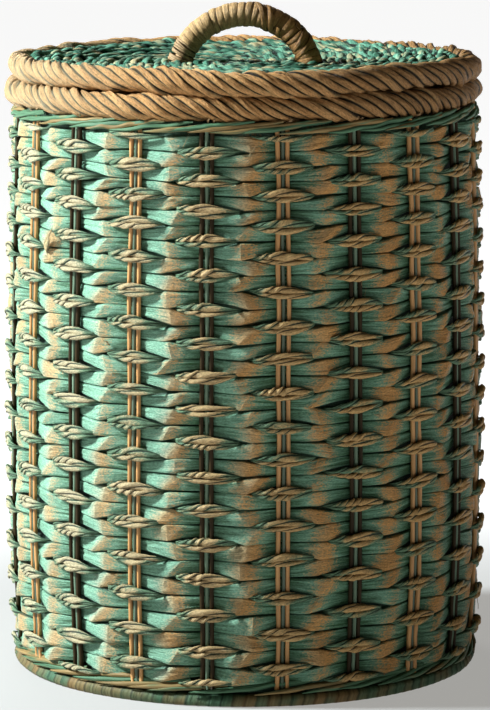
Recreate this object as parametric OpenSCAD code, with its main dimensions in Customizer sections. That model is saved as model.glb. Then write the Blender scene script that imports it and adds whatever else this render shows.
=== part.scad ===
// Round woven laundry basket with a lift-off lid and an arched handle on the lid.
// Millimetres, +Z up. The origin is the centre of the foot, on the floor.
// The wall is a band of broad leaf strips with groups of three rods standing on its outer face.
// Pairs of twisted binding strands cross each group and hold it to the wall.

/* [Wall] */
// Diameter of the weave's outer face at its widest place
wall_d = 395; // [260:1:600]
// Height of the weave's top edge above the floor
wall_h = 478.4; // [300:0.1:700]
// Thickness of the weave
wall_t = 7; // [4:0.1:12]
// Height of the widest place above the floor
belly_z = 150; // [90:1:220]
// How far the wall draws in from its widest place up to the rim
rim_inset = 6.5; // [3:0.1:20]
// How far the wall draws in from its widest place down to the floor
foot_inset = 6; // [3:0.1:20]
// Depth of the groove between two leaf strips
strip_groove = 1.6; // [0.5:0.1:3]

/* [Stakes] */
// Diameter of a stake rod
rod_d = 3.6; // [2:0.1:6]
// Space between two rods of one stake
rod_space = 0.4; // [0.2:0.05:1.5]

/* [Binding strands] */
// Diameter of a binding strand
binding_d = 5; // [2.5:0.1:6.5]
// Length of a binding strand where it crosses a stake
binding_len = 42; // [20:1:55]
// How far above even spacing the pairs in the middle of the wall stand
binding_lift = 10; // [0:0.5:12]

/* [Borders] */
// Diameter of a rod in the border below the rim rope
rim_border_d = 3.5; // [2.5:0.1:6]
// Diameter of a rod in the border above the foot hoop
foot_border_d = 3.1; // [2:0.1:6]

/* [Foot and base] */
// Height of the foot hoop
foot_hoop_h = 10; // [7:0.1:20]
// How far the foot hoop stands out past the stakes
foot_hoop_ledge = 3; // [1:0.1:8]
// Thickness of the base panel
base_panel_t = 7.5; // [4:0.1:14]

/* [Cross rods] */
// Diameter of a rod in the crosses that stiffen the base and the lid
cross_rod_d = 3.6; // [2:0.1:6]
// Distance between neighbouring cross rods
cross_pitch = 18; // [15:0.5:30]

/* [Rim] */
// Diameter of the rim rope
rim_rope_d = 21; // [14:0.5:30]
// Diameter of the rod hoop inside the wall's top edge
rim_hoop_d = 8; // [5:0.1:12]
// Thickness of a lashing round the rim rope
lashing_t = 1; // [0.6:0.1:2]
// Width of a lashing along the rim rope
lashing_w = 6; // [3:0.5:12]

/* [Lid] */
// Diameter of the lid rope
lid_rope_d = 20; // [14:0.5:30]
// Thickness of the lid panel
lid_panel_t = 9; // [5:0.1:12]
// How far the lid panel lies below the top of the lid rope
lid_recess = 8; // [3:0.1:12]
// Thickness of the locating hoop under the lid
lid_hoop_w = 6; // [3:0.1:10]
// Depth of the locating hoop under the lid
lid_hoop_h = 10; // [8:0.1:20]
// Play between the locating hoop and the rim rope
lid_play = 3; // [1:0.1:6]

/* [Handle] */
// Radius of the handle's arch at the middle of its thickness
arch_r = 58; // [48:0.5:80]
// Height of the handle's top above the lid panel
handle_rise = 51; // [42:0.5:62]
// Diameter of the wrapped handle
handle_d = 20.6; // [15:0.1:26]
// Diameter of the cane core inside the handle
cane_d = 11; // [7:0.1:12]
// Length of the fine binding at each end of the handle
handle_binding_len = 15; // [8:0.5:24]
// Diameter of the peg that holds each end of the cane under the lid
peg_d = 3.6; // [2.5:0.1:4.5]
// Length of a peg
peg_len = 32; // [26:0.5:50]

/* [Fit] */
// Space between pieces that rest on each other
gap = 0.3; // [0.2:0.05:0.5]
// Radial clearance of a peg in the cane
peg_clearance = 0.05; // [0.02:0.01:0.1]

/* [Hidden] */
$fn = 96;
ARC_FN = 3600;
ROD_FN = 32;

STAKES = 20;
BINDING_ROWS = 17;
CROSS_RODS = 4;
BORDER_RODS = 2;
STRANDS = [-1, 1];
FIRST_STAKE_ANGLE = -81;
STAKE_STEP = 360 / STAKES;

// The wall's outer face is two arcs that meet at the belly with one tangent.
belly_r = wall_d / 2;
upper_arc_r = (pow(wall_h - belly_z, 2) + pow(rim_inset, 2)) / (2 * rim_inset);
lower_arc_r = (pow(belly_z, 2) + pow(foot_inset, 2)) / (2 * foot_inset);
function arc_face(arc_r, z) = belly_r - arc_r + sqrt(pow(arc_r, 2) - pow(z - belly_z, 2));
function wall_r(z) = z > belly_z ? arc_face(upper_arc_r, z) : arc_face(lower_arc_r, z);
function around(length, radius) = length / radius * 180 / PI;

// Offsets outwards from the wall's outer face
stake_mid = gap + rod_d / 2;
stake_out = gap + rod_d;
binding_mid = stake_out + gap + binding_d / 2;

// Foot and base, from the floor upwards
foot_r = wall_r(foot_hoop_h);
foot_hoop_in = foot_r - wall_t;
foot_hoop_out = foot_r + stake_out + foot_hoop_ledge;
base_panel_top = foot_hoop_h;
base_panel_r = foot_hoop_in - gap;
wall_bottom = foot_hoop_h + gap;
foot_border_top = wall_bottom + BORDER_RODS * (foot_border_d + gap);
base_cross_z = base_panel_top + gap + cross_rod_d / 2;
base_cross_r = wall_r(base_cross_z) - wall_t - gap;

// Rim, up to the rim rope, which is centred over the wall and its stakes together
rim_r = wall_r(wall_h);
rim_border_bottom = wall_h - BORDER_RODS * (rim_border_d + gap);
rope_ring_r = rim_r + (stake_out - wall_t) / 2;
rim_rope_z = wall_h + gap + lashing_t + gap + rim_rope_d / 2;
rim_hoop_r = rim_r - wall_t - gap - rim_hoop_d / 2;

// Levels of the binding pairs, shared out between even stakes and odd stakes by turns.
// They stand a little closer together towards the rim.
// The outermost pairs are cut by the borders, so only their inner strands are there.
border_margin = 1.5;
strand_rise = (binding_d + gap) / 2;
binding_low = foot_border_top + border_margin;
binding_high = rim_border_bottom - border_margin;
LEVELS = 2 * BINDING_ROWS;
LIFT_FULL = 0.3;
LIFT_EASES = 0.78;
function is_odd(stake) = stake % 2 == 1;
function eased(x) = let (t = max(0, min(1, x))) t * t * (3 - 2 * t);
function lift_at(share) = binding_lift * eased(share / LIFT_FULL) * (1 - eased((share - LIFT_EASES) / (1 - LIFT_EASES)));
function level_z(level) =
    let (share = level / (LEVELS - 1))
    binding_low + (binding_high - binding_low) * share + lift_at(share);
function binding_z(row, stake) = level_z(2 * row - (is_odd(stake) ? 1 : 2));
function strand_is_there(row, stake, strand) =
    !(row == 1 && !is_odd(stake) && strand < 0)
    && !(row == BINDING_ROWS && is_odd(stake) && strand > 0);

// Lid, from the rim rope upwards
lid_rope_z = rim_rope_z + rim_rope_d / 2 + gap + lid_rope_d / 2;
lid_panel_top = lid_rope_z + lid_rope_d / 2 - lid_recess;
lid_panel_bottom = lid_panel_top - lid_panel_t;
lid_panel_r = rope_ring_r - lid_rope_d / 2 - gap;
lid_hoop_out = rope_ring_r - rim_rope_d / 2 - lid_play;
lid_cross_z = lid_panel_bottom - gap - cross_rod_d / 2;
lid_cross_r = lid_hoop_out - lid_hoop_w - gap;
cross_layer = cross_rod_d + gap;

// Handle: one arc, whose centre lies below the lid panel
arch_z = lid_panel_top + handle_rise - handle_d / 2 - arch_r;
handle_foot_z = lid_panel_top + gap;
handle_foot_angle = asin((handle_foot_z - arch_z) / arch_r);
handle_binding_end = handle_foot_angle + around(handle_binding_len, arch_r);
peg_z = lid_cross_z - cross_rod_d / 2 - gap - peg_d / 2;
peg_angle = asin((peg_z - arch_z) / arch_r);
// The cane runs on past the peg by one cane diameter less a peg's radius.
cane_end_angle = peg_angle - around(cane_d - peg_d, arch_r);
wrap_space = 0.1;

function two_digits(number) = str(number < 10 ? "0" : "", number);
function stake_name(stake) = str("stake_", two_digits(stake));
function row_name(row) = str("binding_row_", two_digits(row));
function stake_angle(stake) = FIRST_STAKE_ANGLE + STAKE_STEP * (stake - 1);

// A round ring about the basket's axis
module ring(ring_r, z, d) {
    rotate_extrude()
        translate([ring_r, z])
            circle(d = d, $fn = ROD_FN);
}

// Part of a round ring, centred on the angle given
module ring_part(ring_r, z, d, angle, span) {
    rotate([0, 0, angle - span / 2])
        rotate_extrude(angle = span)
            translate([ring_r, z])
                circle(d = d, $fn = ROD_FN);
}

// An arc that stands in the XZ plane and starts at the centre of its own end, heading up
module rising_arc(arc_r, d, angle) {
    translate([-arc_r, 0, 0])
        rotate([90, 0, 0])
            rotate_extrude(angle = angle, $fn = ARC_FN)
                translate([arc_r, 0])
                    circle(d = d, $fn = ROD_FN);
}

// One rod that follows the wall's outer face from the foot hoop to the lashings
module stake_rod() {
    upper_r = upper_arc_r + stake_mid;
    lower_r = lower_arc_r + stake_mid;
    translate([belly_r + stake_mid, 0, belly_z]) {
        rising_arc(upper_r, rod_d, asin((wall_h - belly_z) / upper_r));
        mirror([0, 0, 1])
            rising_arc(lower_r, rod_d, asin((belly_z - wall_bottom) / lower_r));
    }
}

// Three rods side by side
module stake(number) {
    step = around(rod_d + rod_space, min(rim_r, foot_r) + stake_mid);
    color(is_odd(number) ? "peru" : "saddlebrown")
        rotate([0, 0, stake_angle(number)])
            for (place = [-1:1])
                rotate([0, 0, place * step])
                    stake_rod();
}

// The binding strands of one row, where they cross the stakes
module binding_row(row) {
    color("tan")
        for (stake = [1:STAKES], strand = STRANDS)
            if (strand_is_there(row, stake, strand)) {
                z = binding_z(row, stake) + strand * strand_rise;
                strand_r = wall_r(z) + binding_mid;
                ring_part(strand_r, z, binding_d, stake_angle(stake), around(binding_len, strand_r));
            }
}

// The band of broad leaf strips, as one closed wall with a groove between each strip and the next
module wall_weave() {
    bevel = (binding_high - binding_low) / (LEVELS - 1) / 6;
    edges = [for (level = [0:LEVELS - 1]) level_z(level)];
    outer = [
        [wall_r(wall_bottom), wall_bottom],
        for (z = edges) each [
            [wall_r(z - bevel), z - bevel],
            [wall_r(z) - strip_groove, z],
            [wall_r(z + bevel), z + bevel]
        ],
        [wall_r(wall_h), wall_h]
    ];
    inner_heights = concat([wall_h], [for (i = [len(edges) - 1:-1:0]) edges[i]], [wall_bottom]);
    inner = [for (z = inner_heights) [wall_r(z) - wall_t, z]];
    color("mediumaquamarine")
        rotate_extrude()
            polygon(concat(outer, inner));
}

// Rods laid one above the other outside the stakes
module border(bottom, rod) {
    color("seagreen")
        for (i = [0:BORDER_RODS - 1]) {
            z = bottom + rod / 2 + i * (rod + gap);
            ring(max(wall_r(bottom), wall_r(bottom + BORDER_RODS * rod)) + stake_out + gap + rod / 2, z, rod);
        }
}

module foot_border() {
    border(wall_bottom, foot_border_d);
}

module rim_border() {
    border(rim_border_bottom, rim_border_d);
}

// Wrapped hoop with a flat underside and a rounded outer edge
module foot_hoop() {
    round_r = foot_hoop_h / 2;
    color("burlywood")
        rotate_extrude() {
            translate([foot_hoop_in, 0])
                square([foot_hoop_out - round_r - foot_hoop_in, foot_hoop_h]);
            translate([foot_hoop_out - round_r, round_r])
                circle(r = round_r, $fn = ROD_FN);
        }
}

module base_panel() {
    color("mediumaquamarine")
        translate([0, 0, base_panel_top - base_panel_t])
            cylinder(r = base_panel_r, h = base_panel_t);
}

// Parallel rods along X, cut to length inside a circle
module cross_rods(inside_r, z) {
    color("peru")
        for (i = [0:CROSS_RODS - 1]) {
            y = (i - (CROSS_RODS - 1) / 2) * cross_pitch;
            half_length = sqrt(pow(inside_r, 2) - pow(abs(y) + cross_rod_d / 2, 2));
            translate([-half_length, y, z])
                rotate([0, 90, 0])
                    cylinder(d = cross_rod_d, h = 2 * half_length, $fn = ROD_FN);
        }
}

module base_cross_lower() {
    cross_rods(base_cross_r, base_cross_z);
}

module base_cross_upper() {
    rotate([0, 0, 90])
        cross_rods(base_cross_r, base_cross_z + cross_layer);
}

module rim_hoop() {
    color("peru")
        ring(rim_hoop_r, wall_h - rim_hoop_d / 2, rim_hoop_d);
}

module rim_rope() {
    color("tan")
        ring(rope_ring_r, rim_rope_z, rim_rope_d);
}

// Flat ties that pass under the rim rope and up its outer side, one at each stake
module rim_lashings() {
    inner_r = rim_rope_d / 2 + gap;
    outer_r = inner_r + lashing_t;
    span = around(lashing_w, rope_ring_r);
    under = rim_rope_d / 10;
    up_side = rim_rope_d / 4;
    color("wheat")
        for (stake = [1:STAKES])
            rotate([0, 0, stake_angle(stake) - span / 2])
                rotate_extrude(angle = span)
                    translate([rope_ring_r, rim_rope_z])
                        intersection() {
                            difference() {
                                circle(r = outer_r);
                                circle(r = inner_r);
                            }
                            translate([-under, -outer_r])
                                square([outer_r + under, outer_r + up_side]);
                        }
}

module lid_rope() {
    color("tan")
        ring(rope_ring_r, lid_rope_z, lid_rope_d);
}

// Flat hoop that drops inside the rim rope
module lid_hoop() {
    color("peru")
        rotate_extrude()
            translate([lid_hoop_out - lid_hoop_w, lid_panel_bottom - gap - lid_hoop_h])
                square([lid_hoop_w, lid_hoop_h]);
}

// Part of the handle's arch, between two angles above the horizontal
module arch(d, from, to) {
    translate([0, 0, arch_z])
        rotate([90, 0, 0])
            rotate([0, 0, from])
                rotate_extrude(angle = to - from)
                    translate([arch_r, 0])
                        circle(d = d, $fn = ROD_FN);
}

// Woven disc with two slanting holes for the ends of the cane
module lid_panel() {
    color("mediumaquamarine")
        difference() {
            translate([0, 0, lid_panel_bottom])
                cylinder(r = lid_panel_r, h = lid_panel_t);
            arch(cane_d + 2 * gap, 0, 180);
        }
}

module lid_cross_upper() {
    cross_rods(lid_cross_r, lid_cross_z);
}

module lid_cross_lower() {
    rotate([0, 0, 90])
        cross_rods(lid_cross_r, lid_cross_z - cross_layer);
}

module at_peg() {
    translate([arch_r * cos(peg_angle), 0, peg_z])
        rotate([90, 0, 0])
            children();
}

module peg(d, length) {
    at_peg()
        cylinder(d = d, h = length, center = true, $fn = ROD_FN);
}

module left_side() {
    mirror([1, 0, 0])
        children();
}

// Bent cane with a cross hole for a peg near each end
module handle_cane() {
    hole_d = peg_d + 2 * peg_clearance;
    color("burlywood")
        difference() {
            arch(cane_d, cane_end_angle, 180 - cane_end_angle);
            peg(hole_d, 2 * cane_d);
            left_side()
                peg(hole_d, 2 * cane_d);
        }
}

module handle_wrap() {
    color("tan")
        difference() {
            arch(handle_d, handle_binding_end, 180 - handle_binding_end);
            arch(cane_d + 2 * wrap_space, 0, 180);
        }
}

// Fine binding round the foot of the handle, cut level just above the lid panel
module handle_binding() {
    join = around(gap, arch_r);
    color("wheat")
        difference() {
            arch(handle_d, 0, handle_binding_end - join);
            arch(cane_d + 2 * wrap_space, -handle_foot_angle, 90);
            translate([0, -handle_d, arch_z - handle_d])
                cube([2 * arch_r, 2 * handle_d, handle_foot_z - arch_z + handle_d]);
        }
}

module handle_peg() {
    color("saddlebrown")
        peg(peg_d, peg_len);
}

foot_hoop();
foot_border();
base_panel();
base_cross_lower();
base_cross_upper();
wall_weave();
for (number = [1:STAKES])
    stake(number);
for (row = [1:BINDING_ROWS])
    binding_row(row);
rim_border();
rim_hoop();
rim_rope();
rim_lashings();
lid_rope();
lid_hoop();
lid_panel();
lid_cross_upper();
lid_cross_lower();
handle_cane();
handle_wrap();
left_side() handle_binding();  // handle_binding_left
handle_binding();  // handle_binding_right
left_side() handle_peg();  // handle_peg_left
handle_peg();  // handle_peg_right
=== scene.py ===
import math

import bpy
import numpy as np
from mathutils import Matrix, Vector


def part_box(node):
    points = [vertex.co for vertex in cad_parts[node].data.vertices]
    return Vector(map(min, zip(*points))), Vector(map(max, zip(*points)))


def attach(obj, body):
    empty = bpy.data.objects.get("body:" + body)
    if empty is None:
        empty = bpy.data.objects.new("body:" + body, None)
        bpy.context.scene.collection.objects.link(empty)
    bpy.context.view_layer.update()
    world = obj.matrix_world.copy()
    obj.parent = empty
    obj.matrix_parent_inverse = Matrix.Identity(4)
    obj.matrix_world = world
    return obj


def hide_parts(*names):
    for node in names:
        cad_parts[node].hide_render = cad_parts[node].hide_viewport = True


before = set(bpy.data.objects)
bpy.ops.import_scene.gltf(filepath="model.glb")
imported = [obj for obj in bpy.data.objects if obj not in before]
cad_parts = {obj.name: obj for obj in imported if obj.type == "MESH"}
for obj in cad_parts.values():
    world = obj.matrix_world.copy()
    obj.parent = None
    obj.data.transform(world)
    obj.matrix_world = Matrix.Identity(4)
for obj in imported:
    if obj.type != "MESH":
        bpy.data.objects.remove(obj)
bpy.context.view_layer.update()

# Studio: a camera in front and slightly above the rim, and a strong lamp high on the left.
# The floor glows, faintly under the basket and almost white far from it, so the basket stands clear.
for thing in bpy.context.selected_objects:
    thing.select_set(False)
camera_data = bpy.data.cameras.new("camera")
camera_data.lens = 194.28
camera_data.sensor_width = 36
camera_data.clip_end = 60
camera = bpy.data.objects.new("camera", camera_data)
camera.location = (0, -3.25469, 0.76508)
camera.rotation_euler = (math.pi / 2 - 0.15352, 0, 0)
bpy.context.scene.collection.objects.link(camera)
bpy.context.scene.camera = camera


def add_lamp(name, spot, aim, size, power, colour):
    """Hangs a square soft lamp at a spot and turns it to its aim."""
    lamp = bpy.data.lights.new(name, "AREA")
    lamp.size = size
    lamp.energy = power
    lamp.color = colour
    holder = bpy.data.objects.new(name, lamp)
    holder.location = spot
    holder.rotation_euler = (Vector(aim) - Vector(spot)).to_track_quat("-Z", "Y").to_euler()
    bpy.context.scene.collection.objects.link(holder)


add_lamp(
    "key_lamp", spot=(-2.19, -0.19, 1.60), aim=(0, 0, 0.29), size=0.34, power=196, colour=(0.89, 0.98, 1.0)
)
add_lamp(
    "back_lamp", spot=(-0.5, 1.9, 1.9), aim=(0, 0, 0.45), size=0.7, power=10, colour=(1.0, 1.0, 1.0)
)

sky = bpy.data.worlds.new("sky")
sky.use_nodes = True
bpy.context.scene.world = sky
sky.node_tree.nodes["Background"].inputs[0].default_value = (0.020, 0.016, 0.004, 1)


class Signal:
    """A number or a colour on its way through a finish, so that sums read as sums."""

    def __init__(self, finish, socket):
        self.finish, self.socket = finish, socket

    def work_out(self, operation, first, second):
        return self.finish.node("ShaderNodeMath", {"operation": operation}, (first, second))

    def __add__(self, other):
        return self.work_out("ADD", self, other)

    def __sub__(self, other):
        return self.work_out("SUBTRACT", self, other)

    def __rsub__(self, other):
        return self.work_out("SUBTRACT", other, self)

    def __mul__(self, other):
        return self.work_out("MULTIPLY", self, other)

    __radd__ = __add__
    __rmul__ = __mul__


class Finish:
    """One finish, with the nodes that make it."""

    def __init__(self, name):
        self.material = bpy.data.materials.new(name)
        self.material.use_nodes = True
        self.tree = self.material.node_tree
        self.shader = self.tree.nodes["Principled BSDF"]

    def node(self, kind, settings=None, values=(), output=0):
        """Adds a node, sets it up, feeds its sockets, and gives back one of its outputs."""
        made = self.tree.nodes.new(kind)
        for key, value in (settings or {}).items():
            if key == "stops":
                made.color_ramp.interpolation = "EASE"
                for stop, (place, colour) in zip(made.color_ramp.elements, value):
                    stop.position = place
                    stop.color = (*colour, 1)
            else:
                setattr(made, key, value)
        pairs = values.items() if isinstance(values, dict) else enumerate(values)
        for key, value in pairs:
            self.feed(made.inputs[key], value)
        return Signal(self, made.outputs[output])

    def feed(self, socket, value):
        """Links a signal to a socket, or sets the socket to a plain number or colour."""
        if isinstance(value, Signal):
            self.tree.links.new(value.socket, socket)
        elif isinstance(value, tuple) and socket.type == "RGBA":
            socket.default_value = (*value, 1)
        else:
            socket.default_value = value

    def value(self, name):
        """Reads one of the piece's own numbers."""
        return self.node("ShaderNodeAttribute", {"attribute_name": name}, output="Fac")

    def along(self, run, across):
        """The piece's own length and width, in metres, stretched by the two scales."""
        place = self.node("ShaderNodeUVMap", {"uv_map": "lay"})
        return self.node(
            "ShaderNodeVectorMath", {"operation": "MULTIPLY"}, (place, (run, across, 1))
        )

    def position(self):
        """The place in the basket's own frame, in metres."""
        return self.node("ShaderNodeTexCoord", output="Object")

    def rightward(self):
        """How far a place lies to the right of the basket's middle, in metres."""
        return self.node("ShaderNodeSeparateXYZ", None, (self.position(),))

    def grain(self, place, scale=1.0, detail=2.0, roughness=0.5):
        """Soft noise from 0 to 1 at a place."""
        return self.node(
            "ShaderNodeTexNoise",
            None,
            {"Vector": place, "Scale": scale, "Detail": detail, "Roughness": roughness},
        )

    def step(self, signal, low, high):
        """Goes smoothly from 0 to 1 as a signal goes from low to high."""
        return self.node(
            "ShaderNodeMapRange",
            {"interpolation_type": "SMOOTHSTEP"},
            {"Value": signal, "From Min": low, "From Max": high},
        )

    def blend(self, share, first, second, kind="MIX"):
        """Mixes two colours. Sockets 6 and 7 of a mix hold its colours, and 2 gives out the result."""
        settings = {"data_type": "RGBA", "blend_type": kind}
        return self.node("ShaderNodeMix", settings, {0: share, 6: first, 7: second}, output=2)

    def shade(self, colour, share):
        """Darkens or lightens a colour by a share."""
        grey = self.node("ShaderNodeCombineColor", None, (share, share, share))
        return self.blend(1.0, colour, grey, "MULTIPLY")

    def finish(self, colour, roughness, height=None, depth=0.0, shine=0.16):
        """Feeds the shader and gives back the material."""
        self.feed(self.shader.inputs["Specular IOR Level"], shine)
        self.feed(self.shader.inputs["Base Color"], colour)
        self.feed(self.shader.inputs["Roughness"], roughness)
        if height is not None:
            bump = self.node(
                "ShaderNodeBump", None, {"Strength": 1.0, "Distance": depth, "Height": height}
            )
            self.feed(self.shader.inputs["Normal"], bump)
        return self.material


bpy.ops.mesh.primitive_plane_add(size=60, location=(0, 0, 0))
floor = bpy.context.object
floor.name = "floor"
floor_finish = Finish("floor_paint")
floor_reach = floor_finish.node(
    "ShaderNodeVectorMath", {"operation": "LENGTH"}, (floor_finish.position(),), output="Value"
)
floor_stops = [(0.30, (0.36, 0.355, 0.34)), (0.85, (0.93, 0.93, 0.93))]
floor_glow = floor_finish.node("ShaderNodeValToRGB", {"stops": floor_stops}, (floor_reach,))
floor_paint = floor_finish.finish((0.25, 0.25, 0.25), 0.9, shine=0.5)
floor_finish.feed(floor_finish.shader.inputs["Emission Color"], floor_glow)
floor_finish.feed(floor_finish.shader.inputs["Emission Strength"], 1.0)
floor.data.materials.append(floor_paint)

bpy.context.scene.view_settings.view_transform = "Standard"
bpy.context.scene.view_settings.look = "None"


# Base: a round panel of leaf cord, twined in rings from the foot in to a knot at the centre.
# Each ring is two strands twisted round each other, a little uneven, as hand work is.
def grid(*parts):
    """Spreads parts over each other's rows and columns and stacks them, as points or as corners."""
    return np.stack(np.broadcast_arrays(*parts), axis=-1)


def about(angle, out, rise):
    """Points at angles from the front, counted towards the right, about the basket's axis."""
    return grid(out * np.sin(angle), -out * np.cos(angle), rise)


def skin(name, rings, run_closed=True, lay=None, **values):
    """Lays a closed skin of quads over rings of points, given in millimetres.
    lay is the length along and the width across at each ring and point, in millimetres."""
    runs, rounds = rings.shape[:2]
    i = np.arange(runs if run_closed else runs - 1)[:, None]
    j = np.arange(rounds)[None, :]
    i_next, j_next = (i + 1) % runs, (j + 1) % rounds
    quads = grid(
        i * rounds + j, i_next * rounds + j, i_next * rounds + j_next, i * rounds + j_next
    ).reshape(-1, 4)
    points = rings.reshape(-1, 3) / 1000
    a, b, c, d = (points[quads[:, k]] for k in range(4))
    volume = np.einsum("ij,ij->i", a, np.cross(b, c) + np.cross(c, d)).sum()
    turn = volume < 0
    if turn:
        quads = quads[:, ::-1]
    faces = quads.tolist()
    if not run_closed:
        first = list(range(rounds))
        last = [(runs - 1) * rounds + k for k in range(rounds)]
        faces += [first if turn else first[::-1], last[::-1] if turn else last]
    mesh = bpy.data.meshes.new(name)
    mesh.from_pydata(points.tolist(), [], faces)
    mesh.polygons.foreach_set("use_smooth", np.ones(len(faces), bool))
    if lay is not None:
        corners = [(0, 0), (1, 0), (1, 1), (0, 1)]
        each = np.stack([lay[i + di, j + dj] for di, dj in corners], axis=2).reshape(-1, 4, 2)
        if turn:
            each = each[:, ::-1]
        flat = np.zeros((len(mesh.loops), 2))
        flat[: len(each) * 4] = each.reshape(-1, 2) / 1000
        mesh.uv_layers.new(name="lay").data.foreach_set("uv", flat.ravel())
    for key, number in values.items():
        spread = np.broadcast_to(number, (runs, rounds)).astype(np.float32)
        mesh.attributes.new(key, "FLOAT", "POINT").data.foreach_set("value", spread.ravel())
    piece = bpy.data.objects.new(name, mesh)
    bpy.context.scene.collection.objects.link(piece)
    return piece


def join(name, pieces):
    """Makes several meshes one piece."""
    for piece in bpy.context.selected_objects:
        piece.select_set(False)
    for piece in pieces:
        piece.select_set(True)
    bpy.context.view_layer.objects.active = pieces[0]
    if len(pieces) > 1:
        bpy.ops.object.join()
    whole = bpy.context.object
    whole.name = name
    whole.data.name = name
    whole.select_set(False)
    return whole


def dress(piece, body, material, nodes=()):
    """Gives a piece its finish, the body that it moves with and the plain solids it stands for."""
    piece.data.materials.append(material)
    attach(piece, body)
    if nodes:
        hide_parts(*nodes)


def wander(rng, count, waves, closed=True):
    """A smooth uneven line of count values from about -1 to 1, which meets itself when closed."""
    turn = np.linspace(0, 2 * math.pi, count, endpoint=not closed)
    line = np.zeros(count)
    for wave in range(1, waves + 1):
        line += rng.normal() * np.sin(wave * turn + rng.uniform(0, 6.3)) / math.sqrt(waves)
    return line


def ripples(rng, count, lines, waves):
    """Smooth uneven lines side by side, each of which meets itself."""
    turn = np.linspace(0, 2 * math.pi, count, endpoint=False)[:, None] * np.arange(1, waves + 1)
    mixed = np.cos(turn) @ rng.normal(size=(waves, lines))
    mixed = mixed + np.sin(turn) @ rng.normal(size=(waves, lines))
    return mixed / math.sqrt(2 * waves)


def twisted_ring(
    name, radius, height, thick, strands, turns, step, per_strand, groove, rng, uneven, wrinkle, slack,
    sway=0.0, rise_at=None,
):
    """A cord of strands twisted round each other and closed into a ring about the basket's axis.
    The mesh lines run along the strands, so the grooves between them stay sharp."""
    count = int(2 * math.pi * radius / step)
    rounds = strands * per_strand
    angle = np.linspace(0, 2 * math.pi, count, endpoint=False)[:, None]
    place = np.arange(rounds)[None, :] / per_strand
    within = place - np.floor(place)
    slip = slack * ripples(rng, count, 1, max(2, turns // 2)) + rng.uniform(0, 6.3)
    turned = 2 * math.pi * place / strands - turns * angle + slip
    strand = np.floor(place).astype(int)
    plump = 1 + uneven * ripples(rng, count, strands, 2 * turns)
    lobe = np.sin(math.pi * within) ** 0.6
    whole = 1 + 0.5 * uneven * ripples(rng, count, 1, 24)
    size = thick / 2 * whole * (1 - groove * (1 - lobe)) * plump[:, strand[0]]
    size = size + wrinkle * ripples(rng, count, rounds, 5 * turns)
    out = radius + sway * np.sin(angle) + 0.6 * uneven * thick * ripples(rng, count, 1, 6)
    rise = height + 0.4 * uneven * thick * ripples(rng, count, 1, 7) + size * np.sin(turned)
    out = out + size * np.cos(turned)
    if rise_at is not None:
        rise = rise + rise_at(out)
    run = np.linspace(0, 2 * math.pi * radius, count + 1)[:, None] + 900 * rng.uniform(0, 1)
    across = np.arange(rounds + 1)[None, :] / per_strand * thick * math.pi / strands
    tones = rng.uniform(0, 1, strands)[strand[0]][None, :]
    return skin(name, about(angle, out, rise), lay=grid(run, across), groove=1 - lobe, tone=tones)


def twined_panel(name, radius, low, high, pitch, step, per_strand, rng, rise_at=None):
    """A flat round panel of twisted rings, from its edge in to a knot at its centre."""
    thick = high - low
    middle = (low + high) / 2
    rings = []
    for row in range(int(radius / pitch)):
        ring_r = radius - pitch * (row + 0.5)
        if ring_r < pitch:
            break
        turns = max(3, round(2 * math.pi * ring_r / 34))
        rings.append(
            twisted_ring(
                f"{name}_{row}", ring_r, middle, thick, strands=2, turns=turns, step=step,
                per_strand=per_strand, groove=0.42, rng=rng, uneven=0.20, wrinkle=0.28, slack=1.2,
                rise_at=rise_at,
            )
        )
    turn = np.linspace(0, 2 * math.pi, 16, endpoint=False)[None, :]
    rise = np.linspace(-1, 1, 7)[:, None]
    knot_r = pitch * 0.62 * np.sqrt(np.clip(1.02 - rise**2, 0.02, 1))
    knot = grid(knot_r * np.cos(turn), knot_r * np.sin(turn), middle + rise * thick / 2)
    centre = skin(f"{name}_knot", knot, run_closed=False, lay=np.zeros((8, 17, 2)), groove=0.0, tone=0.5)
    # A thin core of leaf closes the small holes between the rings.
    turn = np.linspace(0, 2 * math.pi, 120, endpoint=False)[:, None]
    core_reach = np.linspace(3, radius - 4, 16)
    core_out = np.append(core_reach, core_reach[::-1])[None, :]
    core_rise = middle + np.append(np.full(16, -0.9), np.full(16, 0.9))[None, :]
    if rise_at is not None:
        core_rise = core_rise + rise_at(core_out)
    core_rings = about(turn, core_out, core_rise)
    core = skin(f"{name}_core", core_rings, lay=np.zeros((121, 33, 2)), groove=1.0, tone=0.5)
    return join(name, rings + [centre, core])


def cut_size(node):
    """A node's radius, lowest and highest point, in millimetres."""
    low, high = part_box(node)
    return 1000 * high.x, 1000 * low.z, 1000 * high.z


twine = Finish("twined_leaf")
twine_fibre = twine.grain(twine.along(40, 620), 1, 3, 0.65)
twine_patch = twine.grain(twine.along(38, 70), 1, 2)
twine_speck = twine.grain(twine.along(420, 700), 1, 2, 0.7)
twine_high = twine.step(twine.value("groove"), 0.60, 0.08)
twine_mint = twine.step(twine_patch + 0.5 * twine_fibre, 0.55, 1.0)
twine_colour = twine.blend(twine_mint, (0.020, 0.085, 0.050), (0.17, 0.42, 0.29))
twine_bare = twine.step(twine_patch + 0.45 * twine_fibre + 0.25 * twine.value("tone"), 0.86, 1.05)
twine_colour = twine.blend(0.8 * twine_bare * twine_high, twine_colour, (0.40, 0.28, 0.14))
# Painted shade: the grooves between the two twisted strands are painted dark.
twine_colour = twine.shade(twine_colour, twine_high + 1.15 * twine_fibre + 1.2 * twine_speck - 1.06)
twine_paint = twine.finish(twine_colour, 0.6, twine_fibre + 0.6 * twine_patch, 0.0009)

base_r, base_low, base_high = cut_size("base_panel")
base = twined_panel(
    "base_weave", base_r, base_low, base_high, pitch=9.4, step=3.6, per_strand=4,
    rng=np.random.default_rng(11),
)
dress(base, "basket", twine_paint, ["base_panel"])

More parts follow.
